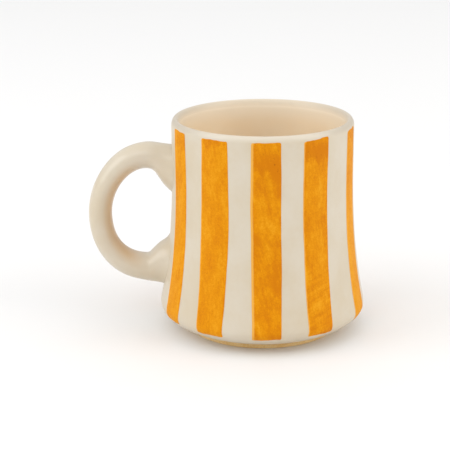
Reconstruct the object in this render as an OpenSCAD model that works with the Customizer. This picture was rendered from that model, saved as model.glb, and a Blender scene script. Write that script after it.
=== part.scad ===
// Stoneware mug with painted upright stripes and a pulled loop handle.
// Millimetres. +Z is up, the origin is on the body's axis at the plane that the foot stands on,
// and the handle points along -X.

/* [Body] */
// Height from the foot to the top of the lip
height = 97.8; // [80:0.2:120]
// Outside diameter at the rim
rim_d = 82; // [68:0.5:100]
// Outside diameter at the waist, the narrowest height
waist_d = 82; // [68:0.5:100]
// Outside diameter where the wall meets the rounded hip
belly_d = 93.7; // [78:0.1:113]
// Height of the waist, measured down from the top of the lip
waist_drop = 17.8; // [12:0.2:24]
// Height of the belly above the foot
belly_z = 13.2; // [11:0.1:16]
// How late the wall begins to spread on its way down, as a power of the distance below the waist
flare_power = 2.4; // [1.5:0.1:3.5]
// Thickness of the wall
wall_t = 3.8; // [3.2:0.1:5.4]
// Thickness of the floor
floor_t = 5.5; // [4:0.1:7]
// Radius of the inside corner between the floor and the wall
inner_corner_r = 7; // [4:0.5:10]
// Slope of the underside between the foot and the hip, in degrees
under_slope = 15.6; // [8:0.1:22]

/* [Foot ring] */
// Outside diameter of the foot ring
foot_d = 69.2; // [57:0.1:84]
// Height of the foot ring
foot_h = 2.2; // [1.6:0.1:3]
// Width of the foot ring's standing face and its two bevels together
foot_w = 5; // [4:0.1:7]
// Bevel along both edges of the standing face
foot_bevel = 0.6; // [0.3:0.1:0.9]

/* [Glaze lining] */
// Thickness of the glaze that lines the inside
lining_t = 0.3; // [0.2:0.05:0.5]
// Distance from the lip's inner shoulder down to the lining's upper edge
lining_drop = 1; // [0.5:0.5:5]

/* [Handle] */
// Distance from the waist's wall to the handle's outer face
handle_reach = 39; // [32:0.2:47]
// Distance from the top of the lip down to the top of the handle
handle_drop = 11.6; // [8:0.2:16]
// Height of the handle over both its arms
handle_span = 65.8; // [54:0.2:80]
// Thickness of the handle's section, in the plane of the loop
handle_t = 11.4; // [9:0.1:14]
// Width of the handle's section, across the loop
handle_w = 14; // [11:0.1:17]
// Length of the upper arm's straight part, from the waist's wall
upper_straight = 9.2; // [6:0.1:12]
// Length of the lower arm's straight part, from the waist's wall
lower_straight = 12.6; // [9:0.1:15]
// Centreline radius of the bend between the upper arm and the bow
upper_bend_r = 22; // [16:0.5:27]
// Centreline radius of the bend between the lower arm and the bow
lower_bend_r = 17; // [13:0.5:21]
// How far the bow's outermost point is below the middle of the handle
bow_sag = 0.8; // [0:0.1:4]

/* [Joint clay] */
// Depth of the clay worked in under the upper arm, from the arm's middle to its lowest point on the wall
upper_joint_h = 18.6; // [14:0.1:22]
// Depth of the clay worked in over the lower arm, from the arm's middle to its highest point on the wall
lower_joint_h = 18.2; // [14:0.1:22]
// Width of both joints where they meet the wall
joint_w = 21; // [17:0.5:25]
// Distance that the joint clay reaches out along the arm, from the waist's wall
joint_reach = 10.5; // [8:0.1:13]

/* [Painted stripes] */
// Width of each brush stroke
stripe_w = 12.9; // [9:0.1:15]
// Thickness of the fired colour
stripe_t = 0.25; // [0.15:0.05:0.5]
// Distance from the top of the lip down to the strokes' upper ends
stripe_drop = 2.5; // [2.3:0.1:6]
// Height of the strokes' lower ends above the foot
stripe_z = 8.5; // [7.5:0.1:20]
// Turn from the middle of the handle to the first stroke on either side, in degrees
stripe_start = 28.5; // [24:0.5:32]

/* [Hidden] */
$fn = 96;          // facets of a round shape where its module says nothing else

// How far each hand-placed stroke strays from its even place, in degrees
stripe_stray = [0, -2.4, -3.5, -5.5, -2, -1.5, 2, -1, 1.5, 0];
stripe_count = len(stripe_stray);
stripe_pitch = (360 - 2 * stripe_start) / (stripe_count - 1);

rim_r = rim_d / 2;
waist_r = waist_d / 2;
belly_r = belly_d / 2;
foot_r = foot_d / 2;
waist_z = height - waist_drop;
lip_r = wall_t / 2;
lip_z = height - lip_r;
floor_z = foot_h + floor_t;
lining_z = lip_z - lining_drop;

wall_steps = 20;   // straight facets from the belly to the lip
hip_steps = 8;     // facets round the hip
corner_steps = 6;  // facets round the inside corner
lip_steps = 10;    // facets over the lip
section_steps = 32; // facets round the handle's section
weld_t = 0.4;      // thickness of the slices that weld the handle's stretches
weld_grow = 0.02;  // how far they stand out of its section
bow_room = 1;      // least depth and height left for the bow beyond a bend
oval_t = 0.5;      // thickness of the ovals that shape the joint clay
oval_fn = 32;      // facets round them
swell_x = 2.5;     // distance from the waist's wall to the joint clay's middle oval
swell_h = 5;       // how much less deep the middle oval is than the one at the wall
swell_w = 1.2;     // how much narrower it is on each side
tip_lap = 0.6;     // how far the joint clay's tip stands out of the arm's section
slab_room = 10;    // how far the stripes' slabs reach past the wall

clay = [0.86, 0.81, 0.72];
bare_clay = [0.78, 0.66, 0.46];
lining_colour = [0.89, 0.82, 0.72];
stripe_colour = [0.91, 0.60, 0.12];

// ---- outline of the body, as radius over height ----

// Outside radius of the wall at a height between the belly and the lip
function wall_r(z) =
    z < waist_z
        ? waist_r + (belly_r - waist_r) * pow((waist_z - z) / (waist_z - belly_z), flare_power)
        : waist_r + (rim_r - waist_r) * pow((z - waist_z) / (lip_z - waist_z), 2);

// How much the radius grows for each millimetre down, at the belly
belly_slope = (belly_r - waist_r) * flare_power / (waist_z - belly_z);

// Point on a quadratic curve that leaves p towards q and arrives at r from q
function curve(p, q, r, t) = (1 - t) * (1 - t) * p + 2 * t * (1 - t) * q + t * t * r;

// Corner where the underside's slope would meet the wall's, had the hip no rounding
hip_x = (belly_r + belly_slope * (belly_z - foot_h + foot_r * tan(under_slope)))
        / (1 + belly_slope * tan(under_slope));
hip_corner = [hip_x, foot_h + (hip_x - foot_r) * tan(under_slope)];

// The underside and hip, from the foot up to the belly
function hip_points(grow) =
    [for (i = [0 : hip_steps])
        curve([foot_r + grow, foot_h], hip_corner + [grow, -grow], [belly_r + grow, belly_z],
              i / hip_steps)];

// The wall, from just above the belly to the lip's shoulder
function wall_points(grow, z_from, z_to) =
    [for (i = [1 : wall_steps])
        let (z = z_from + (z_to - z_from) * i / wall_steps)
        [wall_r(z) + grow, z]];

// The lip, a half round from the outer shoulder to the inner one
lip_points =
    [for (i = [1 : lip_steps])
        let (a = 180 * i / lip_steps)
        [rim_r - lip_r + lip_r * cos(a), lip_z + lip_r * sin(a)]];

// The inside, from a height down the wall, round the corner and across the floor to the axis.
// inset moves it inwards, for the lining that lies on it.
inner_bend_z = floor_z + inner_corner_r;
function inner_points(inset, z_from) =
    let (start_r = wall_r(inner_bend_z) - wall_t, corner_r = wall_r(floor_z) - wall_t)
    concat(
        [for (i = [0 : wall_steps])
            let (z = z_from + (inner_bend_z - z_from) * i / wall_steps)
            [wall_r(z) - wall_t - inset, z]],
        [for (i = [1 : corner_steps])
            curve([start_r - inset, inner_bend_z], [corner_r - inset, floor_z + inset],
                  [corner_r - inner_corner_r, floor_z + inset], i / corner_steps)],
        [[0, floor_z + inset]]);

// Everything inside the body's outer face, used to trim what is joined to the wall
module body_envelope() {
    rotate_extrude()
        polygon(concat([[0, foot_h]], hip_points(0), wall_points(0, belly_z, lip_z),
                       [[0, lip_z]]));
}

module body() {
    color(clay)
    rotate_extrude()
        polygon(concat([[0, foot_h]], hip_points(0), wall_points(0, belly_z, lip_z), lip_points,
                       inner_points(0, lining_z)));
}

// Unglazed ring that the mug stands on
module foot_ring() {
    inner_r = foot_r - foot_w;
    color(bare_clay)
    rotate_extrude()
        polygon([[inner_r, foot_h], [inner_r, foot_bevel], [inner_r + foot_bevel, 0],
                 [foot_r - foot_bevel, 0], [foot_r, foot_bevel], [foot_r, foot_h]]);
}

// Glass lining, poured in and drained, that covers the floor and the wall up to the lip's shoulder
module glaze_lining() {
    outer = inner_points(0, lining_z);
    inner = inner_points(lining_t, lining_z);
    color(lining_colour)
    rotate_extrude()
        polygon(concat(outer, [for (i = [len(inner) - 1 : -1 : 0]) inner[i]]));
}

// ---- handle ----

bow_x = waist_r + handle_reach - handle_t / 2;      // centreline's distance from the axis
upper_z = height - handle_drop - handle_t / 2;      // middle of the upper arm
lower_z = upper_z - handle_span + handle_t;         // middle of the lower arm
bow_z = (upper_z + lower_z) / 2 - bow_sag;

// The bend and the bow arc of one half of the loop. They touch each other, the bend touches the
// arm, and the bow arc stands upright at bow_z.
function half_depth(straight) = handle_reach - handle_t / 2 - straight;
function bend_r(r, straight, half_h) =
    min(r, half_depth(straight) - bow_room, half_h - bow_room);
function bow_r(bend, straight, half_h) =
    let (a = half_depth(straight), b = half_h - bend)
    (a * a + b * b - bend * bend) / (2 * (a - bend));
function bow_turn(bend, bow, half_h) = asin((half_h - bend) / (bow - bend));

module section(grow = 0) {
    polygon([for (i = [0 : section_steps - 1])
        let (a = 360 * i / section_steps)
        [(handle_t / 2 + grow) * cos(a), (handle_w / 2 + grow) * sin(a)]]);
}

// A stretch of handle bent round [x, z], from one turn to another, measured from +X towards +Z
module bent(x, z, r, from, to) {
    translate([x, 0, z])
        rotate([90, 0, 0])
        rotate([0, 0, from])
        rotate_extrude(angle = to - from)
        translate([r, 0]) section();
}

// A thin slice across the handle, a hair larger than its section, that welds two stretches where
// they touch, at one turn of the arc round [x, z]
module weld(x, z, r, turn) {
    translate([x, 0, z])
        rotate([90, 0, 0])
        rotate([0, 0, turn])
        translate([r, 0, 0])
        rotate([90, 0, 0])
        linear_extrude(weld_t, center = true) section(weld_grow);
}

// The straight stretch of an arm, from the middle of the wall out to x
module arm(x, z) {
    start_x = waist_r - wall_t / 2;
    translate([-start_x, 0, z])
        rotate([0, -90, 0])
        linear_extrude(x - start_x) section();
}

// Half of the loop: side is 1 above the bow and -1 below it
module half_loop(side, arm_z, radius, straight) {
    half_h = abs(arm_z - bow_z);
    bend = bend_r(radius, straight, half_h);
    bow = bow_r(bend, straight, half_h);
    turn = bow_turn(bend, bow, half_h);
    x = waist_r + straight;
    arm(x, arm_z);
    if (side > 0) {
        bent(-x, arm_z - bend, bend, 90, 180 - turn);
        bent(bow - bow_x, bow_z, bow, 180 - turn, 180);
    } else {
        bent(-x, arm_z + bend, bend, 180 + turn, 270);
        bent(bow - bow_x, bow_z, bow, 180, 180 + turn);
    }
    weld(-x, arm_z - side * bend, bend, 180 - side * 90);
    weld(bow - bow_x, bow_z, bow, 180 - side * turn);
    weld(bow - bow_x, bow_z, bow, 180);
}

module loop() {
    half_loop(1, upper_z, upper_bend_r, upper_straight);
    half_loop(-1, lower_z, lower_bend_r, lower_straight);
}

module handle() {
    color(clay)
    difference() {
        loop();
        body_envelope();
    }
}

// A thin upright oval that faces the wall, at a distance from the axis
module oval(x, z, half_h, half_w) {
    translate([-x, 0, z])
        rotate([0, -90, 0])
        scale([half_h, half_w, 1]) cylinder(h = oval_t, r = 1, $fn = oval_fn);
}

// Clay worked in between an arm and the wall: above the arm where side is 1, below it where it
// is -1
module joint(arm_z, side, depth) {
    wall_x = waist_r - wall_t / 2;
    tip_x = waist_r + joint_reach;
    half_w = joint_w / 2;
    intersection() {
        hull() {
            oval(wall_x, arm_z, depth, half_w);
            oval(waist_r + swell_x, arm_z, depth - swell_h, half_w - swell_w);
            oval(tip_x, arm_z, handle_t / 2 + tip_lap, handle_w / 2);
        }
        translate([-(tip_x + wall_t), -joint_w, side > 0 ? arm_z : arm_z - 2 * depth])
            cube([joint_reach + 2 * wall_t, 2 * joint_w, 2 * depth]);
    }
}

module upper_joint() {
    color(clay)
    difference() {
        joint(upper_z, -1, upper_joint_h);
        body_envelope();
        loop();
    }
}

module lower_joint() {
    color(clay)
    difference() {
        joint(lower_z, 1, lower_joint_h);
        body_envelope();
        loop();
    }
}

// ---- painted stripes ----

// A thin coat on the hip and the wall, all the way round
module coat() {
    outer = concat(hip_points(stripe_t), wall_points(stripe_t, belly_z, lip_z));
    inner = concat(hip_points(0), wall_points(0, belly_z, lip_z));
    rotate_extrude()
        polygon(concat(outer, [for (i = [len(inner) - 1 : -1 : 0]) inner[i]]));
}

// One brush stroke: the coat where an upright slab of the stroke's width and height meets it
module stripe(i) {
    turn = 180 + stripe_start + i * stripe_pitch + stripe_stray[i];
    color(stripe_colour)
    intersection() {
        coat();
        rotate([0, 0, turn])
            translate([0, -stripe_w / 2, stripe_z])
            cube([max(belly_r, rim_r) + slab_room, stripe_w, height - stripe_drop - stripe_z]);
    }
}

body();
foot_ring();
glaze_lining();
handle();
upper_joint();
lower_joint();
stripe(0);  // stripe_01
stripe(1);  // stripe_02
stripe(2);  // stripe_03
stripe(3);  // stripe_04
stripe(4);  // stripe_05
stripe(5);  // stripe_06
stripe(6);  // stripe_07
stripe(7);  // stripe_08
stripe(8);  // stripe_09
stripe(9);  // stripe_10
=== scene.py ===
# %% [markdown]
# # A striped stoneware mug
# This lesson builds the looks of a handmade mug around a CAD model that already has the right
# size. The CAD model is the frame: it says where each piece of clay, glaze and colour lies.
# The steps below say what each piece is on the real mug, make it, and put the new mesh where
# the frame has the plain one.

# %% Load the frame
import math
import random

import bpy
from mathutils import Matrix, Vector
from mathutils.bvhtree import BVHTree


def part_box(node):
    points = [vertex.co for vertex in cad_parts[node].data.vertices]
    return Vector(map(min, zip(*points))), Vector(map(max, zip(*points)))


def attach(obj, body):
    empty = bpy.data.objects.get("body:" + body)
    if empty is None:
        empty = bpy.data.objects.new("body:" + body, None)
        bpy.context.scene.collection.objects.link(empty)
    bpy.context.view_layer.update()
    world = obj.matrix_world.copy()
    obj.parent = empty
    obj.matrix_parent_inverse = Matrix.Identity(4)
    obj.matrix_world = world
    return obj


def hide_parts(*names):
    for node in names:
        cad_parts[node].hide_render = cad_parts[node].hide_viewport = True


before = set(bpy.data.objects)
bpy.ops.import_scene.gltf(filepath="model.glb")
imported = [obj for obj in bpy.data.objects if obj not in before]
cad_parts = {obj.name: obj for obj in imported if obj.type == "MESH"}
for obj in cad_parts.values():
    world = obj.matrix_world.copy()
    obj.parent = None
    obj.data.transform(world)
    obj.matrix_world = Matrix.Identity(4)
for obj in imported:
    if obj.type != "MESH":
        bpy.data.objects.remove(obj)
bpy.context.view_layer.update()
MM = 0.001

# %% [markdown]
# ## Measuring the frame
# A potter measures a pot with callipers. Here a straight needle does that work: it is pushed
# towards a CAD piece from a known point, and the place where it first touches is the measure.
# The radii of the wall, floor and foot come from such touches, so the new meshes follow the
# frame by themselves.


# %% Callipers
def surface(node):
    """The skin of a CAD piece, ready to be touched."""
    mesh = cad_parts[node].data
    corners = [vertex.co for vertex in mesh.vertices]
    return BVHTree.FromPolygons(corners, [face.vertices[:] for face in mesh.polygons])


def touch(skin, start, direction):
    """Where a needle pushed from start first meets the skin."""
    return skin.ray_cast(Vector(start), Vector(direction))[0]


clay_skin = surface("body")
FAR = 200 * MM  # well outside the mug


def outer_r(z):
    """Radius of the mug's outside at a height."""
    return touch(clay_skin, (FAR, 0, z), (-1, 0, 0)).x


def inner_r(z):
    """Radius of the mug's inside at a height."""
    return touch(clay_skin, (0, 0, z), (1, 0, 0)).x


# %% The mug's own heights and radii
UPRIGHT_DROP = 8 * MM  # below the lip's top, where the wall's thickness is measured
WAIST_DROP = 18 * MM  # below the lip's top, where the waist is measured
BELLY_STEP = 0.25  # millimetres between the heights that are tried for the belly
BELLY_TRIES = range(20, 60)  # steps above the foot ring

foot_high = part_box("foot_ring")[1]
foot_r = foot_high.x
foot_top = foot_high.z
lip_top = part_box("body")[1].z
floor_z = touch(clay_skin, (0, 0, lip_top), (0, 0, -1)).z
wall_t = outer_r(lip_top - UPRIGHT_DROP) - inner_r(lip_top - UPRIGHT_DROP)
lip_r = wall_t / 2
belly_z = max([foot_top + step * BELLY_STEP * MM for step in BELLY_TRIES], key=outer_r)
belly_r = outer_r(belly_z)
waist_r = outer_r(lip_top - WAIST_DROP)
print("wall", round(wall_t / MM, 2), "belly", round(belly_r / MM, 2), "at", round(belly_z / MM, 2))

# %% [markdown]
# ## Tools for the bench
# Operators act on whatever is selected, and loading the frame leaves its pieces selected. So
# every step starts from an empty selection, and ends by writing the piece's place into its
# mesh, with the object itself left at the origin.


# %% Selecting a piece
def clear_selection():
    """Leaves nothing selected."""
    for obj in list(bpy.context.selected_objects):
        obj.select_set(False)


def pick(obj):
    """Leaves edit mode and selects one piece alone."""
    if bpy.context.mode != "OBJECT":
        bpy.ops.object.mode_set(mode="OBJECT")
    clear_selection()
    obj.select_set(True)
    bpy.context.view_layer.objects.active = obj


def edit(obj):
    """Goes into edit mode on one piece, with nothing selected in it."""
    pick(obj)
    bpy.ops.object.mode_set(mode="EDIT")
    bpy.ops.mesh.select_all(action="DESELECT")


# %% Finishing a piece
SMOOTH_ANGLE = math.radians(50)  # edges that turn more than this stay sharp


def finish_piece(obj, name):
    """Names a piece, writes its place into its mesh and shades it."""
    pick(obj)
    bpy.ops.object.transform_apply(location=True, rotation=True, scale=True)
    bpy.ops.object.shade_smooth_by_angle(angle=SMOOTH_ANGLE)
    obj.name = name
    obj.data.name = name
    print(name, len(obj.data.polygons), "faces")
    return obj


def apply_modifier(obj, kind, **settings):
    """Adds a modifier, sets it up and applies it."""
    pick(obj)
    modifier = obj.modifiers.new(kind.title(), kind)
    for key, value in settings.items():
        setattr(modifier, key, value)
    bpy.ops.object.modifier_apply(modifier=modifier.name)


def settle(obj, node):
    """Puts a finished piece in place of a CAD node, on the mug's one body."""
    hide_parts(node)
    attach(obj, "root")


# %% [markdown]
# ## Turning a round piece
# Body, lining and foot are round, as they come off a wheel. The way to make them is the same:
# draw half of the outline beside the axis, point by point, and spin it once round. A tiny
# plane, merged into one point, gives the first point, and each next one is extruded from it.

# %% The turning tool
TURN_STEPS = 160
MERGE_GAP = 0.002 * MM  # points closer than this become one


def turned(name, outline, close=False):
    """Spins an outline of (radius, height) points round the mug's axis. close joins its last
    point to its first."""
    clear_selection()
    radius, height = outline[0]
    bpy.ops.mesh.primitive_plane_add(size=MM, location=(radius, 0, height))
    piece = bpy.context.object
    bpy.ops.object.mode_set(mode="EDIT")
    bpy.ops.mesh.select_all(action="SELECT")
    bpy.ops.mesh.merge(type="CENTER")
    path = outline[1:] + outline[:1] if close else outline[1:]
    for next_radius, next_height in path:
        step = (next_radius - radius, 0, next_height - height)
        bpy.ops.mesh.extrude_vertices_move(TRANSFORM_OT_translate={"value": step})
        radius, height = next_radius, next_height
    bpy.ops.mesh.select_all(action="SELECT")
    bpy.ops.mesh.spin(steps=TURN_STEPS, angle=math.tau, center=(0, 0, 0), axis=(0, 0, 1))
    bpy.ops.mesh.select_all(action="SELECT")
    bpy.ops.mesh.remove_doubles(threshold=MERGE_GAP)
    bpy.ops.mesh.normals_make_consistent(inside=False)
    return finish_piece(piece, name)


# %% Curves and even steps
def curve(start, corner, end, steps):
    """Points on a soft bend that leaves start towards corner and arrives at end from it."""
    points = []
    for step in range(steps + 1):
        t = step / steps
        weights = ((1 - t) ** 2, 2 * t * (1 - t), t ** 2)
        points.append(tuple(
            sum(weight * point[axis] for weight, point in zip(weights, (start, corner, end)))
            for axis in (0, 1)))
    return points


def spread(low, high, steps):
    """Even steps from low to high, both ends included."""
    return [low + (high - low) * step / steps for step in range(steps + 1)]


# %% [markdown]
# ## The body
# The body is the cup itself: a wall that stands almost upright at the lip, spreads towards a
# low belly and tucks in under a rounded hip. The lip is round outside and rolls softly inwards,
# because an edge that touches the mouth is wiped smooth with a wet leather. The floor rises
# into the wall through a soft corner, so a spoon reaches everywhere.

# %% Outline of the outside
SLOPE_REACH = 1.5 * MM  # how far outside the foot ring the rise of the underside is measured
OUTER_ROLL = 3.4 * MM  # height of the lip's outer curve
HIP_STEPS = 16
WALL_STEPS = 44

under = touch(clay_skin, (foot_r + SLOPE_REACH, 0, 0), (0, 0, 1))
under_slope = (under.z - foot_top) / SLOPE_REACH
hip_corner = (belly_r, foot_top + (belly_r - foot_r) * under_slope)
hip = curve((foot_r, foot_top), hip_corner, (belly_r, belly_z), HIP_STEPS)
edge_z = lip_top - OUTER_ROLL
wall = [(outer_r(z), z) for z in spread(belly_z, edge_z, WALL_STEPS)]
print("hip", len(hip), "points, wall", len(wall), "points")

# %% Outline of the lip
LIP_STEPS = 12

crest_r = outer_r(edge_z) - lip_r
lip = [(crest_r + lip_r * math.cos(turn), edge_z + OUTER_ROLL * math.sin(turn))
       for turn in spread(0, math.pi / 2, LIP_STEPS)]
outside = hip + wall[1:] + lip[1:]
print("lip's crest at radius", round(crest_r / MM, 2))

# %% Outline of the inside
ROLL_DEPTH = 4.5 * MM  # how far down the inside the lip's soft roll reaches
FEATHER = 5 * MM  # how far down from its top a moved-in outline reaches its full inset
INNER_BEND = 7 * MM  # height and width of the soft corner at the floor
BEND_SPREAD = 1.2 * MM  # how far out the corner aims, because the wall still spreads there
INSIDE_STEPS = 40
BEND_STEPS = 12

roll_z = lip_top - ROLL_DEPTH


def roll_r(z):
    """Radius of the inside, which opens out in a quarter of an oval above roll_z."""
    rise = max(0.0, (z - roll_z) / ROLL_DEPTH)
    return inner_r(min(z, roll_z)) + lip_r * (1 - math.sqrt(max(0.0, 1 - rise ** 2)))


def inside(inset, edge, top_z):
    """The inside from a height down to the middle of the floor, moved in by edge at the top
    and by inset from a little way down."""
    bend_z = floor_z + INNER_BEND
    down = []
    for z in spread(top_z, roll_z, LIP_STEPS) + spread(roll_z, bend_z, INSIDE_STEPS)[1:]:
        share = min(1.0, (top_z - z) / FEATHER)
        down.append((roll_r(z) - edge - (inset - edge) * share, z))
    start = down[-1]
    corner = (start[0] + BEND_SPREAD, floor_z + inset)
    end = (corner[0] - INNER_BEND, floor_z + inset)
    bend = curve(start, corner, end, BEND_STEPS)
    return down + bend[1:] + [(end[0] / 2, end[1]), (0, end[1])]


# %% Turn the body
underside = [(0, foot_top), (foot_r / 2, foot_top)]
body = turned("mug_body", underside + outside + inside(0, 0, lip_top)[1:])


def skin_r(z):
    """Radius of the turned body's outside at a height."""
    for (low_r, low_z), (high_r, high_z) in zip(outside, outside[1:]):
        if z <= high_z:
            return low_r + (high_r - low_r) * (z - low_z) / (high_z - low_z)
    return outside[-1][0]


# %% [markdown]
# ## The foot ring
# The mug stands on a low ring of bare clay. Glaze would melt and stick to the kiln shelf, so
# the potter wipes it off here. A turned rectangle with its edges bevelled is enough, because
# a trimming tool leaves just such a plain ring with slightly broken edges.

# %% Turn the foot ring
BROKEN_EDGE = 0.55 * MM
BROKEN_ANGLE = math.radians(40)

foot_inner_r = touch(surface("foot_ring"), (0, 0, foot_top / 2), (1, 0, 0)).x
foot_outline = [(foot_r, foot_top), (foot_inner_r, foot_top), (foot_inner_r, 0), (foot_r, 0)]
foot = turned("mug_foot_ring", foot_outline, close=True)
apply_modifier(foot, "BEVEL", width=BROKEN_EDGE, segments=4, limit_method="ANGLE",
               angle_limit=BROKEN_ANGLE)
finish_piece(foot, "mug_foot_ring")

# %% [markdown]
# ## The lining
# The inside is glazed first: the potter fills the cup with liquid glaze and pours it out, and
# a thin even coat stays behind. It is thinner than a fingernail, so it is turned as a skin on
# the inside wall, and it thins out to almost nothing at its top, below the lip.

# %% Turn the lining
LINING_T = 0.3 * MM
LINING_EDGE = 0.04 * MM

lining_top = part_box("glaze_lining")[1].z
clay_side = inside(0, 0, lining_top)
cup_side = inside(LINING_T, LINING_EDGE, lining_top)
lining = turned("mug_glaze_lining", clay_side + cup_side[::-1], close=True)

# %% [markdown]
# ## The handle
# A pulled handle is a strap of wet clay, drawn out by hand until it is oval, then bent into a
# loop and pressed onto the wall. A ring of points is the right start: it is extruded from one
# root to the other, and each new ring is moved, turned and stretched as the strap is there.
# A Subdivision Surface then makes the clay soft.

# %% Measures of the two roots
# At a root, a ring is given by how far it is out from the waist's wall, its top and its bottom
# edge below the top of the handle, and half its width, in millimetres.
UPPER_ROOT = [
    (-3.2, 1.5, 26.5, 11.4),
    (-0.3, 1.4, 23.6, 9.9),
    (1.6, 1.2, 21.9, 9.1),
    (3.4, 0.95, 20.1, 8.5),
    (5.4, 0.65, 17.4, 7.9),
    (7.2, 0.35, 14.2, 7.4),
    (9.2, 0.1, 12.2, 7.1),
]
# The lower root is given the same way, with both edges above the bottom of the handle.
LOWER_ROOT = [
    (10.6, 14.0, -0.3, 7.1),
    (8.4, 16.2, -0.5, 7.4),
    (6.4, 18.2, -0.9, 7.8),
    (4.4, 19.4, -1.4, 8.5),
    (2.4, 20.9, -2.4, 9.5),
    (0.6, 24.2, -3.6, 10.6),
    (-2.0, 27.5, -4.5, 12.0),
]
print("root rings", len(UPPER_ROOT), "and", len(LOWER_ROOT))

# %% Measures of the loop
UPPER_HALF_T = 6.0 * MM  # half thickness at the top, at the outer side and at the bottom
SIDE_HALF_T = 5.35 * MM
LOWER_HALF_T = 6.4 * MM
HALF_W = 6.9 * MM  # half width all round the loop
UPPER_END = 12.6 * MM  # how far out from the waist's wall the loop starts
LOWER_END = 11.5 * MM
LOOP_MIDDLE = 33.4 * MM  # below the top of the handle
UPPER_FULLNESS = 1.83  # 2 is a round quarter, more is squarer and less is more pointed
LOWER_FULLNESS = 2.2
LOOP_STEPS = 10

handle_low, handle_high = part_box("handle")
reach = -handle_low.x
loop_z = handle_high.z - LOOP_MIDDLE
print("loop's middle at", round(loop_z / MM, 1), "mm")


# %% Rings of the handle
# Each ring is x and z of its middle, its turn about Y, half its thickness and half its width.
def root_ring(out, edge_a, edge_b, half_w, from_z, turn):
    """A ring that stands upright, given by its two edges in millimetres above from_z."""
    top, bottom = max(edge_a, edge_b), min(edge_a, edge_b)
    middle = from_z + (top + bottom) / 2 * MM
    return (-(waist_r + out * MM), middle, turn, (top - bottom) / 2 * MM, half_w * MM)


def loop_point(turn):
    """A point of the loop's middle line: turn is 90 at the top and 270 at the bottom."""
    upper = turn <= 180
    fullness = UPPER_FULLNESS if upper else LOWER_FULLNESS
    half_t = UPPER_HALF_T if upper else LOWER_HALF_T
    middle_x = -(waist_r + (UPPER_END if upper else LOWER_END))
    half_x = reach - SIDE_HALF_T + middle_x
    half_z = (handle_high.z - half_t - loop_z) if upper else (loop_z - handle_low.z - half_t)
    across = abs(math.cos(math.radians(turn))) ** (2 / fullness)
    up = abs(math.sin(math.radians(turn))) ** (2 / fullness)
    return Vector((middle_x - half_x * across, 0, loop_z + (half_z if upper else -half_z) * up))


def loop_ring(turn):
    """A ring on the loop, square to its middle line."""
    ahead = loop_point(min(turn + 1, 270)) - loop_point(max(turn - 1, 90))
    tilt = math.atan2(-ahead.z, -ahead.x)
    end_t = UPPER_HALF_T if turn <= 180 else LOWER_HALF_T
    swell = math.sin(math.radians(turn)) ** 4  # 1 at the top and bottom, 0 at the outer side
    half_t = SIDE_HALF_T + (end_t - SIDE_HALF_T) * swell
    point = loop_point(turn)
    return (point.x, point.z, tilt, half_t, HALF_W)


rings = [root_ring(out, -top, -bottom, width, handle_high.z, 0)
         for out, top, bottom, width in UPPER_ROOT]
rings += [loop_ring(turn) for turn in spread(90, 270, LOOP_STEPS)]
rings += [root_ring(out, top, bottom, width, handle_low.z, math.pi)
          for out, top, bottom, width in LOWER_ROOT]
print("handle rings", len(rings))


# %% Extrude the rings into a strap
RING_POINTS = 16
SOFTENING = 1.026  # how much larger the rings are than the soft shape they leave


def stretch_ring(centre, tilt, thickness, width):
    """Scales the selected ring along its thickness and width, whatever way it faces."""
    bpy.ops.transform.rotate(value=-tilt, orient_axis="Y", center_override=centre)
    bpy.ops.transform.resize(value=(1, width, thickness), center_override=centre)
    bpy.ops.transform.rotate(value=tilt, orient_axis="Y", center_override=centre)


def strap(name, stations):
    """A strap of clay drawn through rings of (x, z, tilt, half thickness, half width)."""
    clear_selection()
    x, z, tilt, half_t, half_w = stations[0]
    bpy.ops.mesh.primitive_circle_add(
        vertices=RING_POINTS, radius=SOFTENING, fill_type="NGON",
        location=(x, 0, z), rotation=(0, math.radians(90), 0))
    piece = bpy.context.object
    bpy.ops.object.mode_set(mode="EDIT")
    bpy.ops.mesh.select_all(action="SELECT")
    bpy.ops.transform.resize(value=(1, half_w, half_t), center_override=(x, 0, z))
    for next_x, next_z, next_tilt, next_t, next_w in stations[1:]:
        move = (next_x - x, 0, next_z - z)
        centre = (next_x, 0, next_z)
        bpy.ops.mesh.extrude_region_move(TRANSFORM_OT_translate={"value": move})
        stretch_ring(centre, tilt, next_t / half_t, next_w / half_w)
        bpy.ops.transform.rotate(value=next_tilt - tilt, orient_axis="Y", center_override=centre)
        x, z, tilt, half_t, half_w = next_x, next_z, next_tilt, next_t, next_w
    bpy.ops.mesh.select_all(action="SELECT")
    bpy.ops.mesh.normals_make_consistent(inside=False)
    return finish_piece(piece, name)


handle = strap("mug_handle", rings)
apply_modifier(handle, "SUBSURF", levels=3, render_levels=3)

# %% [markdown]
# The clay at each root is worked in after the strap is on: it is the part that flares down or
# up the wall. It is cut off the strap as a piece of its own, so that it can be told apart,
# and both cut ends are closed again. The cut is square to the arm, where the flare begins.


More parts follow.
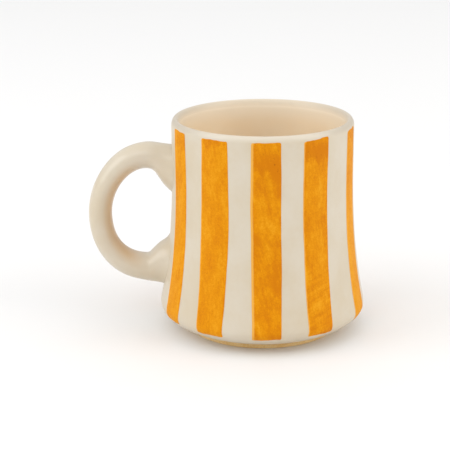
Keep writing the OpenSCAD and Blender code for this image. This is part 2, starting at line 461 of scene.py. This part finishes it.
# %% Part the roots from the strap
def part_root(strap_piece, name, out, upper):
    """Takes the faces near the wall off the strap as a new piece and closes the cuts."""
    cut_x = -(waist_r + out)
    edit(strap_piece)
    bpy.ops.mesh.select_all(action="SELECT")
    bpy.ops.mesh.bisect(plane_co=(cut_x, 0, 0), plane_no=(1, 0, 0))
    bpy.ops.object.mode_set(mode="OBJECT")
    for face in strap_piece.data.polygons:
        near = face.center.x > cut_x
        face.select = near and (face.center.z > loop_z) == upper
    bpy.ops.object.mode_set(mode="EDIT")
    bpy.ops.mesh.select_mode(type="FACE")
    bpy.ops.mesh.separate(type="SELECTED")
    bpy.ops.object.mode_set(mode="OBJECT")
    root = [obj for obj in bpy.context.selected_objects if obj is not strap_piece][0]
    for piece in (root, strap_piece):
        edit(piece)
        bpy.ops.mesh.select_mode(type="EDGE")
        bpy.ops.mesh.select_non_manifold(extend=False)
        bpy.ops.mesh.edge_face_add()
        bpy.ops.mesh.select_all(action="SELECT")
        bpy.ops.mesh.normals_make_consistent(inside=False)
        bpy.ops.mesh.select_mode(type="VERT")
        bpy.ops.object.mode_set(mode="OBJECT")
    return finish_piece(root, name)


upper_out = -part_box("upper_joint")[0].x - waist_r
lower_out = -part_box("lower_joint")[0].x - waist_r
upper_joint = part_root(handle, "mug_upper_joint", upper_out, True)
lower_joint = part_root(handle, "mug_lower_joint", lower_out, False)
handle = finish_piece(handle, "mug_handle")

# %% [markdown]
# A root sinks into the wall, and the wall leans. Without care the root's flat end would come
# out inside the cup. Every point that lies deeper than a set depth is moved out until it lies
# just behind that depth, so the hidden end follows the wall.

# %% Keep the roots within the wall
TUCK = 1.4 * MM  # the set depth, measured from the wall's outer face
TUCK_SHARE = 0.1  # share of a point's extra depth that it keeps


def tuck(piece):
    """Keeps what a root sinks into the wall within the wall's thickness."""
    for vertex in piece.data.vertices:
        radius = math.hypot(vertex.co.x, vertex.co.y)
        limit = outer_r(vertex.co.z) - TUCK
        if radius < limit:
            stretch = (limit - TUCK_SHARE * (limit - radius)) / radius
            vertex.co.x *= stretch
            vertex.co.y *= stretch


def sunk(piece):
    """How far behind the wall's outer face a piece's deepest point lies."""
    return max(outer_r(vertex.co.z) - math.hypot(vertex.co.x, vertex.co.y)
               for vertex in piece.data.vertices)


for joint in (upper_joint, lower_joint):
    tuck(joint)
    print(joint.name, "sinks", round(sunk(joint) / MM, 2), "of", round(wall_t / MM, 2), "mm")

# %% [markdown]
# ## The painted stripes
# Ten upright strokes of ochre colour go round the mug, each one pull of a loaded flat brush.
# No two are alike: a stroke leans, swells and ends a little askew. A grid of small faces is
# bent onto the turned body with those habits, Solidify gives it the body of dried colour, and
# its outer skin is then let down towards the edges, where a brush leaves less. It is a piece of
# its own because the colour really is a coat on top of the clay.

# %% Habits of each stroke
# In millimetres: width, lean from the bottom to the top, taper, which is how much wider the
# bottom is than the top, swell, which is added to the width at half height, and the tilt of the
# top and bottom ends. The seed sets how the hand wobbled.
STROKE_HABITS = {
    "stripe_01": {"width": 11.2, "lean": -2.0, "taper": 0.6, "top": -0.4, "bottom": 0.2, "seed": 3},
    "stripe_02": {"width": 13.1, "lean": -0.4, "swell": 0.9, "top": -0.2, "bottom": 0.1, "seed": 8},
    "stripe_03": {"width": 12.8, "lean": -0.5, "swell": 0.4, "top": 0.1, "bottom": 0.4, "seed": 5},
    "stripe_04": {"width": 12.8, "lean": 0.5, "top": 0.9, "bottom": -0.2, "seed": 12},
    "stripe_05": {"width": 10.9, "lean": 0.3, "taper": 1.8, "top": 0.5, "bottom": 0.3, "seed": 21},
    "stripe_06": {"width": 12.1, "lean": -0.5, "swell": 0.6, "top": 0.2, "bottom": -0.4, "seed": 34},
    "stripe_07": {"width": 13.3, "lean": 0.4, "swell": 0.3, "top": -0.4, "bottom": 0.2, "seed": 55},
    "stripe_08": {"width": 12.7, "lean": -0.2, "swell": 0.8, "top": 0.3, "bottom": 0.3, "seed": 13},
    "stripe_09": {"width": 13.0, "lean": 0.7, "swell": 0.4, "top": -0.2, "bottom": -0.3, "seed": 89},
    "stripe_10": {"width": 12.0, "lean": 0.9, "swell": 0.5, "top": 0.4, "bottom": -0.1, "seed": 44},
}
print("strokes", len(STROKE_HABITS))

# %% How a brush wobbles
SIDE_WOBBLE = 0.15 * MM
END_WOBBLE = 0.15 * MM
WAVES = (1.5, 2.6, 4.3, 7.7)  # how many of each wave fit along an edge


def wobble(seed):
    """A slow, uneven drift of a hand along an edge, whose length counts as 1."""
    chance = random.Random(seed)
    waves = [(chance.uniform(0.6, 1.0) / count, count, chance.uniform(0, math.tau))
             for count in WAVES]
    return lambda along: sum(size * math.sin(count * math.tau * along + start)
                             for size, count, start in waves)


# %% Lay the strokes
STROKE_T = 0.08 * MM
STROKE_SINK = 0.03 * MM  # how deep the back of a stroke lies in the clay
SOFT_EDGE = 0.7 * MM  # width of the thinned edge
EDGE_DROP = 0.8  # share of the thickness that is gone at the very edge
CORNER = 0.8 * MM
STEPS_ACROSS = 22
STEPS_ALONG = 110


def stroke(node, width, lean, top, bottom, seed, taper=0.0, swell=0.0):
    """Lays one painted stroke on the wall where the frame has its plain band."""
    low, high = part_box(node)
    turn = math.atan2((low.y + high.y) / 2, (low.x + high.x) / 2)
    left, right, foot_end, lip_end = [wobble(seed + step) for step in range(4)]
    clear_selection()
    bpy.ops.mesh.primitive_grid_add(x_subdivisions=STEPS_ACROSS, y_subdivisions=STEPS_ALONG,
                                    size=1)
    piece = bpy.context.object
    drops = []
    for vertex in piece.data.vertices:
        across = vertex.co.x + 0.5
        along = 0.5 - 0.5 * math.cos(math.pi * (vertex.co.y + 0.5))
        z_low = low.z + bottom * MM * (across - 0.5) + END_WOBBLE * foot_end(across)
        z_high = high.z + top * MM * (across - 0.5) + END_WOBBLE * lip_end(across)
        z = z_low + (z_high - z_low) * along
        half = (width + swell * math.sin(math.pi * along) + taper * (0.5 - along)) / 2 * MM
        end = min(z - z_low, z_high - z)
        short = max(0.0, CORNER - end)
        half -= CORNER - math.sqrt(max(0.0, CORNER ** 2 - short ** 2))
        drift = SIDE_WOBBLE * (left(along) * (1 - across) + right(along) * across)
        arc = (2 * across - 1) * half + lean * MM * (along - 0.5) + drift
        radius = skin_r(z) - STROKE_SINK
        place = turn + arc / radius
        vertex.co = (radius * math.cos(place), radius * math.sin(place), z)
        side = 2 * half * min(across, 1 - across)
        drops.append(EDGE_DROP * STROKE_T * (1 - min(1.0, min(side, end) / SOFT_EDGE)))
    # Solidify adds the outer skin's points after the grid's own, in the same order.
    apply_modifier(piece, "SOLIDIFY", thickness=STROKE_T + STROKE_SINK, offset=1)
    for vertex, drop in zip(piece.data.vertices[len(drops):], drops):
        shrink = 1 - drop / math.hypot(vertex.co.x, vertex.co.y)
        vertex.co.x *= shrink
        vertex.co.y *= shrink
    return finish_piece(piece, node + "_paint")


strokes = {node: stroke(node, **habits) for node, habits in STROKE_HABITS.items()}

# %% [markdown]
# ## Writing materials as sums
# Shader maths is easier to read as sums than as a page of node calls. `Wire` wraps one output
# of a node, and adding or multiplying wires makes the Math nodes. `NodeBench` makes every other
# node with one method, and `Recipe` is such a bench for one material.


# %% Wires
class Wire:
    """One output of a shader node. Sums on wires add Math nodes."""

    def __init__(self, bench, socket):
        self.bench = bench
        self.socket = socket

    def math(self, operation, *terms):
        """A Math node that works on this wire and then on the other terms."""
        return self.bench.node("ShaderNodeMath", {"operation": operation},
                               dict(enumerate((self, *terms))))

    def __add__(self, other):
        return self.math("ADD", other)

    __radd__ = __add__

    def __sub__(self, other):
        return self.math("SUBTRACT", other)

    def __rsub__(self, other):
        return (self * -1.0) + other

    def __mul__(self, other):
        return self.math("MULTIPLY", other)

    __rmul__ = __mul__


# %% Colours
def shade(code):
    """A colour as the screen shows it, such as #E0C090, as the numbers that light works in."""
    parts = [int(code[place:place + 2], 16) / 255 for place in (1, 3, 5)]
    light = [part / 12.92 if part <= 0.04045 else ((part + 0.055) / 1.055) ** 2.4
             for part in parts]
    return (*light, 1)


# %% The bench where nodes are made
class NodeBench:
    """A tree of shader nodes in the making."""

    def __init__(self, tree):
        self.tree = tree

    def feed(self, socket, value):
        """Links a wire to a socket, or sets the socket's own value."""
        if isinstance(value, Wire):
            self.tree.links.new(value.socket, socket)
        else:
            socket.default_value = value

    def node(self, kind, settings, inputs, output=0):
        """Makes a node: first its settings, then the values or links of its sockets."""
        made = self.tree.nodes.new(kind)
        for key, value in settings.items():
            setattr(made, key, value)
        for key, value in inputs.items():
            self.feed(made.inputs[key], value)
        return Wire(self, made.outputs[output])

    def place(self, kind):
        """Where a point lies, as Object, UV or Generated coordinates."""
        return self.node("ShaderNodeTexCoord", {}, {}, kind)

    def axes(self, place):
        """The three parts of a place."""
        made = self.node("ShaderNodeSeparateXYZ", {}, {0: place}).socket.node
        return [Wire(self, output) for output in made.outputs]


# %% A recipe for a material
class Recipe(NodeBench):
    """A material in the making, on a bench of its own."""

    def __init__(self, name):
        self.material = bpy.data.materials.new(name)
        self.material.use_nodes = True
        super().__init__(self.material.node_tree)
        self.shader = self.tree.nodes["Principled BSDF"]

    def length(self, first, second):
        """Length of the slope whose two legs are given."""
        return (first * first + second * second).math("SQRT")

    def noise(self, place, scale, detail=2.0, roughness=0.5):
        """Soft random cloud from 0 to 1. scale is how many patches fit into a metre."""
        return self.node("ShaderNodeTexNoise", {},
                         {"Vector": place, "Scale": scale, "Detail": detail,
                          "Roughness": roughness})

    def rise(self, value, low, high):
        """0 below low, 1 above high, and smooth in between."""
        return self.node("ShaderNodeMapRange", {"interpolation_type": "SMOOTHSTEP"},
                         {"Value": value, "From Min": low, "From Max": high})

    def blend(self, amount, first, second):
        """One colour turning into another. 6 and 7 are a Mix node's sockets for colours, and 2
        is its result as a colour."""
        return self.node("ShaderNodeMix", {"data_type": "RGBA"},
                         {0: amount, 6: first, 7: second}, 2)

    def dress(self, **inputs):
        """Sets or links the shader's own sockets, named with _ for a space."""
        for key, value in inputs.items():
            name = key.replace("_", " ").title().replace("Ior", "IOR")
            self.feed(self.shader.inputs[name], value)

    def bump(self, height, strength, distance):
        """Small hills on the surface, distance high at full strength."""
        return self.node("ShaderNodeBump", {},
                         {"Strength": strength, "Distance": distance, "Height": height})


# %% [markdown]
# ## The cream glaze
# The outside is pale clay under a clear satin glaze. Its colour is never quite even: it is a
# little warmer where the glaze is thick, and the lip has a tone of its own, where the glaze ran
# thin, with painted shade that darkens it towards its two sides. Its inner half takes on the
# lining's colour with its painted light. The skin has a faint orange peel. Under the hip it
# turns tan: that is painted shade, and in part the darker clay under a thinner glaze. Masks
# made of heights and distances put each tone in its place, which one even noise could not do.

# %% Cream glaze
CREAM_LIGHT = shade("#D3C9B7")
CREAM_WARM = shade("#CEC0A7")
LIP_CREAM = shade("#D6CCBA")
# painted shade of the lip's two sides
LIP_PAINTED_SHADE = shade("#C5BAA8")
MOUTH_CREAM = shade("#D8CAB4")
# painted shade under the hip, together with the darker clay under a thinner glaze
HIP_TAN_AND_SHADE = shade("#DDBE92")
# painted light, the pale colour of the lining's top and of the lip's inner half
LINING_PAINTED_LIGHT = shade("#EFE0C8")

# How many patches of each kind of unevenness fit into a metre.
CLOUDS = 45
GRAINS = 420
PEEL = 800
GLAZE_BUMP = 0.3 * MM

FLANK_START = 16 * MM  # from here to FLANK_END out to the side, painted shade makes the lip darker
FLANK_END = 38 * MM
LIP_BLUR = 1.2 * MM
MOUTH_START = 12 * MM  # below the lip's top, where the inner tone starts and where it is full
MOUTH_FULL = 8 * MM
MOUTH_BLUR = 1 * MM  # below the lining's top, where its painted light starts to give way
HIP_RISE = 4.5 * MM  # how far the tan and the painted shade reach up from the foot
shoulder_z = lip_top - lip_r


def cream_glaze(name):
    """Glaze of the outside and the lip, which takes on the lining's tone and its painted light on
    its inner half.
    """
    recipe = Recipe(name)
    place = recipe.place("Object")
    side, front, height = recipe.axes(place)
    radius = recipe.length(side, front)
    cloud = recipe.noise(place, CLOUDS, 3.0)
    grain = recipe.noise(place, GRAINS, 3.0, 0.6)
    peel = recipe.noise(place, PEEL, 1.0)
    tone = recipe.rise(cloud * 0.8 + grain * 0.2, 0.3, 0.7)
    colour = recipe.blend(tone, CREAM_LIGHT, CREAM_WARM)
    # painted shade that darkens the lip, and the top of the mouth, towards the mug's two sides
    flank_shade = recipe.rise(side.math("ABSOLUTE"), FLANK_START, FLANK_END)
    lip_mask = recipe.rise(height, shoulder_z - LIP_BLUR, shoulder_z + LIP_BLUR)
    colour = recipe.blend(lip_mask, colour, recipe.blend(flank_shade, LIP_CREAM, LIP_PAINTED_SHADE))
    # the lip's inner half takes the lining's painted light, with painted shade towards the sides
    mouth = recipe.blend(recipe.rise(height, lining_top - MOUTH_BLUR, lip_top), LINING_PAINTED_LIGHT,
                         recipe.blend(flank_shade * 0.6, MOUTH_CREAM, LIP_PAINTED_SHADE))
    inner = 1 - recipe.rise(radius, crest_r - 0.5 * lip_r, crest_r + 0.4 * lip_r)
    mouth_mask = inner * recipe.rise(height, lip_top - MOUTH_START, lip_top - MOUTH_FULL)
    colour = recipe.blend(mouth_mask, colour, mouth)
    # tan under the hip: painted shade, and in part the darker clay under a thinner glaze
    hip_tan_and_shade = 1 - recipe.rise(height, foot_top, foot_top + HIP_RISE)
    colour = recipe.blend(hip_tan_and_shade * 0.75, colour, HIP_TAN_AND_SHADE)
    recipe.dress(base_color=colour, roughness=0.42 + 0.1 * cloud, coat_weight=0.3,
                 coat_roughness=0.3, normal=recipe.bump(cloud + peel * 0.12, 0.25, GLAZE_BUMP))
    return recipe.material


# %% [markdown]
# On the handle the inner face of the loop is given painted shade, darker and warmer, where the
# body and the upper arm shade it and colour bounces in from the wall. The mask is the distance
# from the middle of the finger gap, measured as if the gap were round, and it fades out on the
# way from the bow of the loop to the wall.

# %% Handle glaze
# painted shade, darker and warmer, on the inner face of the loop
LOOP_PAINTED_SHADE = shade("#D0B28A")
GAP_HALF_W = 16.5 * MM
GAP_HALF_H = 21.5 * MM
LOOP_SHADE_FULL = 22 * MM  # out from the waist's wall, where the painted shade is full and where it is gone
LOOP_SHADE_GONE = 12 * MM


def handle_glaze(name):
    """Glaze of the handle and its roots, with warm painted shade inside the loop."""
    recipe = Recipe(name)
    place = recipe.place("Object")
    side, _, height = recipe.axes(place)
    cloud = recipe.noise(place, CLOUDS, 3.0)
    peel = recipe.noise(place, PEEL, 1.0)
    colour = recipe.blend(recipe.rise(cloud, 0.3, 0.7), CREAM_LIGHT, CREAM_WARM)
    gap_x = (side + (waist_r + LOWER_END)) * (1 / GAP_HALF_W)
    gap_z = (height - loop_z) * (1 / GAP_HALF_H)
    far = recipe.length(gap_x, gap_z)
    near_wall = recipe.rise(side, -(waist_r + LOOP_SHADE_FULL), -(waist_r + LOOP_SHADE_GONE))
    # painted shade inside the loop, fading towards the wall
    dark_patch = (1 - recipe.rise(far + (cloud - 0.5) * 0.1, 0.98, 1.26)) * (1 - near_wall)
    colour = recipe.blend(dark_patch * 0.85, colour, LOOP_PAINTED_SHADE)
    recipe.dress(base_color=colour, roughness=0.38 + 0.1 * cloud, coat_weight=0.5,
                 coat_roughness=0.2, normal=recipe.bump(cloud + peel * 0.12, 0.25, GLAZE_BUMP))
    return recipe.material


# %% [markdown]
# ## The lining's glaze
# The lining is the same family of glaze in a warmer tone, poured thick, so it shines more than
# the outside. Its colours are painted paler than the outside's, as painted light for the light
# that fills the cup. It turns paler still on its way up to the lip, a painted pool of light where
# the light falls straight onto the inner wall. A mask on the height does that, and the cloud that
# varies the tone makes the mask's border uneven too.

# %% Lining glaze
# both painted paler than the outside glaze, as painted light for the light that fills the cup
LINING_LIGHT = shade("#F3E2C6")
LINING_WARM = shade("#F0DAB9")
LINING_CLOUDS = 38
LINING_PEEL = 700
PALE_DEPTH = 8 * MM


def lining_glaze(name):
    """Glaze of the inside, warm below and paler near its top, painted light in both its tones."""
    recipe = Recipe(name)
    place = recipe.place("Object")
    height = recipe.axes(place)[2]
    cloud = recipe.noise(place, LINING_CLOUDS, 3.0)
    peel = recipe.noise(place, LINING_PEEL, 1.0)
    colour = recipe.blend(recipe.rise(cloud, 0.3, 0.7), LINING_LIGHT, LINING_WARM)
    # painted light, paler towards the lining's top where the light falls on the inner wall
    pale = recipe.rise(height + (cloud - 0.5) * PALE_DEPTH, lining_top - PALE_DEPTH, lining_top)
    colour = recipe.blend(pale, colour, LINING_PAINTED_LIGHT)
    recipe.dress(base_color=colour, roughness=0.38 + 0.1 * cloud, coat_weight=1.0,
                 coat_roughness=0.28, normal=recipe.bump(cloud + peel * 0.1, 0.25, GLAZE_BUMP))
    return recipe.material


# %% [markdown]
# ## The bare clay
# The foot has no glaze: it is dry, rough and a little yellower than the wall. Fine noise mixes
# a paler and a darker clay, and the same noise drives the bump, so each grain that is seen is
# also a small hill in the light. Both clays are painted paler than the bare clay, as painted
# light that makes up for the shade under the hip.

# %% Bare clay
# painted paler than the clay itself, as painted light for the shaded foot
LIT_CLAY_PALE = shade("#FADCA0")
LIT_CLAY_DARK = shade("#EEC27C")
CLAY_GRAINS = 1500
CLAY_CLOUDS = 150
CLAY_BUMP = 0.15 * MM


def bare_clay(name):
    """The unglazed clay of the foot, painted paler as painted light."""
    recipe = Recipe(name)
    place = recipe.place("Object")
    grain = recipe.noise(place, CLAY_GRAINS, 4.0, 0.7)
    cloud = recipe.noise(place, CLAY_CLOUDS, 2.0)
    colour = recipe.blend(recipe.rise(grain * 0.6 + cloud * 0.4, 0.35, 0.65), LIT_CLAY_PALE,
                          LIT_CLAY_DARK)
    recipe.dress(base_color=colour, roughness=0.85, normal=recipe.bump(grain, 0.5, CLAY_BUMP))
    return recipe.material


# %% [markdown]
# ## The ochre paint
# A brush leaves its marks in the colour: long streaks, soft patches, a darker pool where it was
# set down, and a thin pale edge on one side. Noise that is drawn out along the stroke gives the
# streaks. It is read across the stroke from the stroke's own UV map, and along it from the
# height, so the streaks go round with the wall. All marks add up to one number, the load of
# colour on the clay, and the load picks the tone.

# %% Ochre paint
OCHRE_THIN = shade("#E9A11C")
OCHRE = shade("#E09000")
OCHRE_DEEP = shade("#D07A00")
OCHRE_DOT = shade("#B25E00")
OCHRE_FRINGE = shade("#EBB050")

# How many marks of each kind fit into a metre. Long marks are counted across their length.
STREAKS = 900
PATCHES = 150
SLASHES = 620
MOTTLES = 620
SPECKLES = 1700
DOTS = 1100

# How much the length of a mark is squeezed before its noise is read: less draws it out more.
STREAK_SQUEEZE = 0.16
PATCH_SQUEEZE = 0.42
SLASH_SQUEEZE = 0.1
SLASH_SLANT = 0.28  # how steeply slashes climb across a stroke

STROKE_W = 13 * MM  # usual width of a stroke
LOW_FULL = 26 * MM  # height up to which slashes are at their strongest
LOW_GONE = 44 * MM  # height above which there are none
POOL_BLUR = 2 * MM
POOL_THINS = 4 * MM  # above the pool's lower edge, where it starts to thin and where it is thin
POOL_THIN = 8 * MM
RAGGED_COARSE = 12 * MM  # how much patches and mottles fray the pool's edges
RAGGED_FINE = 6 * MM
PAINT_BUMP = 0.08 * MM
stroke_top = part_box("stripe_01")[1].z


def ochre_paint(name, seed, tone=0.0, uneven=0.34, slant=0.05, pool=5.0, depth=0.06, dots=0.4,
                slash=0.0, fringe=0.03):
    """Paint of one stroke: tone makes it deeper, uneven makes it patchy, slant leans its
    streaks, pool is how many millimetres below its top the brush set down, depth and dots are
    what it left there, slash is how strongly slashes cross its lower part, and fringe is the
    thin share of its width."""
    recipe = Recipe(name)
    place = recipe.place("Object")
    height = recipe.axes(place)[2]
    across = recipe.axes(recipe.place("UV"))[0]
    sideways = across * STROKE_W

    def brushed(side, length, scale, detail):
        """Noise read at a place across and along the stroke. Each seed has its own."""
        spot = recipe.node("ShaderNodeCombineXYZ", {}, {0: side, 1: length, 2: seed * 0.37})
        return recipe.noise(spot, scale, detail, 0.6)

    streaks = brushed(sideways + height * slant, height * STREAK_SQUEEZE, STREAKS, 3.0)
    patches = brushed(sideways + height * slant, height * PATCH_SQUEEZE, PATCHES, 3.0)
    slashes = brushed(sideways * SLASH_SQUEEZE, height - sideways * SLASH_SLANT, SLASHES, 2.0)
    mottle = recipe.noise(place, MOTTLES, 3.0, 0.65)
    speckle = recipe.noise(place, SPECKLES, 2.0, 0.6)
    low = 1 - recipe.rise(height, LOW_FULL, LOW_GONE)
    set_down = stroke_top - pool * MM
    ragged = height + (patches - 0.5) * RAGGED_COARSE + (mottle - 0.5) * RAGGED_FINE
    dark_patch = recipe.rise(ragged, set_down - POOL_BLUR, set_down + POOL_BLUR)
    thinned = recipe.rise(ragged, set_down + POOL_THINS, set_down + POOL_THIN)
    dark_patch = dark_patch * (1 - thinned * 0.6)
    load = streaks * 0.2 + mottle * 0.22 + speckle * 0.28 + (patches - 0.5) * uneven
    load = load + (0.15 + tone) + dark_patch * depth + (slashes - 0.5) * low * slash
    colour = recipe.blend(recipe.rise(load, 0.36, 0.54), OCHRE_THIN, OCHRE)
    colour = recipe.blend(recipe.rise(load, 0.48, 0.68), colour, OCHRE_DEEP)
    dot = recipe.rise(recipe.noise(place, DOTS, 1.0) + (patches - 0.5) * 0.2, 0.66, 0.72)
    colour = recipe.blend(dot * dark_patch * dots, colour, OCHRE_DOT)
    thin = 1 - recipe.rise(across + (mottle - 0.5) * 0.03, fringe * 0.6, fringe * 1.3)
    colour = recipe.blend(thin * 0.9, colour, OCHRE_FRINGE)
    recipe.dress(base_color=colour, roughness=0.5 + 0.12 * mottle, specular_ior_level=0.1,
                 normal=recipe.bump(streaks * 0.6 + speckle * 0.4, 0.2, PAINT_BUMP))
    return recipe.material


# %% Paint of each stroke
PAINT_HABITS = {
    "stripe_01": {"seed": 3, "tone": -0.01, "pool": 8.0, "slant": -0.12},
    "stripe_02": {"seed": 8, "tone": 0.03, "pool": 3.0},
    "stripe_03": {"seed": 5, "tone": 0.07, "uneven": 0.65, "pool": 12.0, "depth": 0.11,
                  "dots": 0.9, "slant": 0.22, "fringe": 0.08},
    "stripe_04": {"seed": 12, "tone": 0.04, "uneven": 0.5, "pool": 8.0, "depth": 0.1,
                  "slash": 0.4, "fringe": 0.035},
    "stripe_05": {"seed": 21, "tone": -0.02, "pool": 4.0, "fringe": 0.05},
    "stripe_06": {"seed": 34, "pool": 10.0, "slant": 0.1},
    "stripe_07": {"seed": 55, "tone": 0.03, "pool": 6.0, "slash": 0.35},
    "stripe_08": {"seed": 13, "tone": -0.02, "pool": 11.0, "depth": 0.09, "dots": 0.7},
    "stripe_09": {"seed": 89, "tone": 0.03, "pool": 3.0, "slant": -0.1},
    "stripe_10": {"seed": 44, "tone": -0.03, "pool": 8.0, "slash": 0.3, "fringe": 0.05},
}
print("paints", len(PAINT_HABITS))

# %% [markdown]
# ## Dressing the pieces
# Each piece gets its material, takes the place of its CAD node and rides on the mug's body.
# The mug has no moving parts, so everything rides on the one body, `root`.


# %% Give each piece its finish
def paint(obj, material):
    """Gives a piece one material."""
    obj.data.materials.clear()
    obj.data.materials.append(material)


paint(body, cream_glaze("cream_glaze"))
settle(body, "body")
loop_glaze = handle_glaze("handle_glaze")
for piece, node in ((handle, "handle"), (upper_joint, "upper_joint"),
                    (lower_joint, "lower_joint")):
    paint(piece, loop_glaze)
    settle(piece, node)
paint(foot, bare_clay("bare_clay"))
settle(foot, "foot_ring")
paint(lining, lining_glaze("lining_glaze"))
settle(lining, "glaze_lining")
for node, piece in strokes.items():
    paint(piece, ochre_paint(node + "_ochre", **PAINT_HABITS[node]))
    settle(piece, node)

# %% [markdown]
# ## Floor, light and camera
# A pale mug needs soft light from all round, or its shadows turn grey. The sky does most of
# the work here: it is a world colour that grows brighter towards the zenith, like a white tent
# with a lamp above it. Two large soft panels, left and right of the mug, shape its sides, and a
# small one higher up puts a soft shine on the handle. The floor is a plain pale sheet that
# throws light back up under the handle.

# %% Floor
FLOOR_SIZE = 24  # metres

bpy.ops.mesh.primitive_plane_add(size=FLOOR_SIZE, location=(0, 0, 0))
floor = bpy.context.object
floor.name = "floor"
floor_recipe = Recipe("pale_floor")
floor_recipe.dress(base_color=shade("#F0F0F0"), roughness=0.9, specular_ior_level=0.2)
paint(floor, floor_recipe.material)
print("floor", FLOOR_SIZE, "m wide")

# %% Sky
HORIZON = 0.55
ZENITH = 1.15

world = bpy.data.worlds.new("studio")
bpy.context.scene.world = world
world.use_nodes = True
sky = world.node_tree.nodes["Background"]
tent = NodeBench(world.node_tree)
upwards = tent.axes(tent.place("Generated"))[2]
glow = tent.node("ShaderNodeMapRange", {}, {"Value": upwards, "To Min": HORIZON, "To Max": ZENITH})
tent.feed(sky.inputs["Strength"], glow)
tent.feed(sky.inputs["Color"], shade("#FFFFFF"))
print("sky from", HORIZON, "to", ZENITH)


# %% Soft panels
def soft_panel(name, around, up, distance, size, power, colour):
    """A square lamp that faces the middle of the mug, placed by its angles round it and up."""
    lamp = bpy.data.lights.new(name, "AREA")
    lamp.size = size
    lamp.energy = power
    lamp.color = colour[:3]
    obj = bpy.data.objects.new(name, lamp)
    bpy.context.scene.collection.objects.link(obj)
    sideways_turn = Matrix.Rotation(math.radians(around), 3, "Z")
    upward_turn = Matrix.Rotation(math.radians(-up), 3, "X")
    away = sideways_turn @ upward_turn @ Vector((0, -distance, 0))
    obj.location = away + Vector((0, 0, lip_top / 2))
    obj.rotation_euler = away.to_track_quat("Z", "Y").to_euler()


# Angles round the mug and up from its middle, distance and size in metres, power in watts.
PANELS = {
    "left_panel": (-72, 28, 1.8, 1.2, 9.4, shade("#FFFFFF")),
    "right_panel": (72, 28, 1.8, 1.2, 8.9, shade("#FFFAF2")),
    "front_panel": (-30, 48, 1.8, 0.5, 1.6, shade("#FFFFFF")),
}
for panel, habits in PANELS.items():
    soft_panel(panel, *habits)
print("panels", len(PANELS))

# %% Camera
LENS = 109.68
SENSOR_W = 36
CAMERA_BACK = 602.3 * MM
CAMERA_UP = 230.0 * MM
LOOK_DOWN = math.radians(16.9)
LOOK_LEFT = math.radians(1.63)
ROLL = math.radians(-0.3)

camera_data = bpy.data.cameras.new("camera")
camera_data.lens = LENS
camera_data.sensor_width = SENSOR_W
camera = bpy.data.objects.new("camera", camera_data)
bpy.context.scene.collection.objects.link(camera)
camera.location = (0, -CAMERA_BACK, CAMERA_UP)
aim = Matrix.Rotation(LOOK_LEFT, 3, "Z") @ Matrix.Rotation(math.radians(90) - LOOK_DOWN, 3, "X")
camera.rotation_euler = (aim @ Matrix.Rotation(ROLL, 3, "Z")).to_euler()
bpy.context.scene.camera = camera
bpy.context.scene.view_settings.view_transform = "Standard"
print("camera", round(CAMERA_BACK, 3), "m back and", round(CAMERA_UP, 3), "m up")
